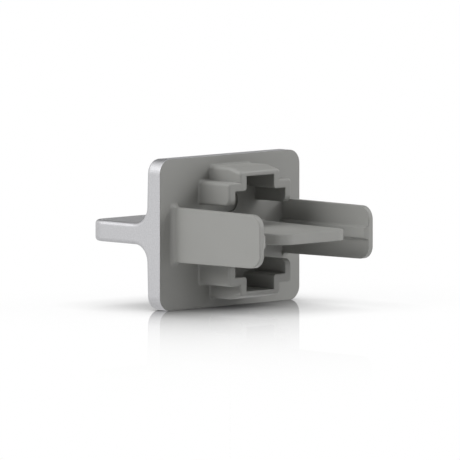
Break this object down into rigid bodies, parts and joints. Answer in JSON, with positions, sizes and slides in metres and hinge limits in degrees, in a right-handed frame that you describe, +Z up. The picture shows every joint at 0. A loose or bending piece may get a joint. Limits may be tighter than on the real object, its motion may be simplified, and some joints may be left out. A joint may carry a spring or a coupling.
{
  "type": "ethernet dust cover",
  "caption": "Moulded plastic plug that closes an empty Ethernet jack: flange with a pull tab behind it, and gripping side arms, a centre blade and stepped hollow keys in front.",
  "frame": {"origin": "centre of the flange's front face, which stops against the jack's bezel", "axes": "-Y into the jack, +X across it, +Z up, square to the blade"},
  "size_m": [0.014, 0.0158, 0.0108],
  "materials": {
    "moulding": "fine moulded texture, mid grey"
  },
  "bodies": {
    "root": {"dust_cover": "moulding"}
  },
  "joints": []
}
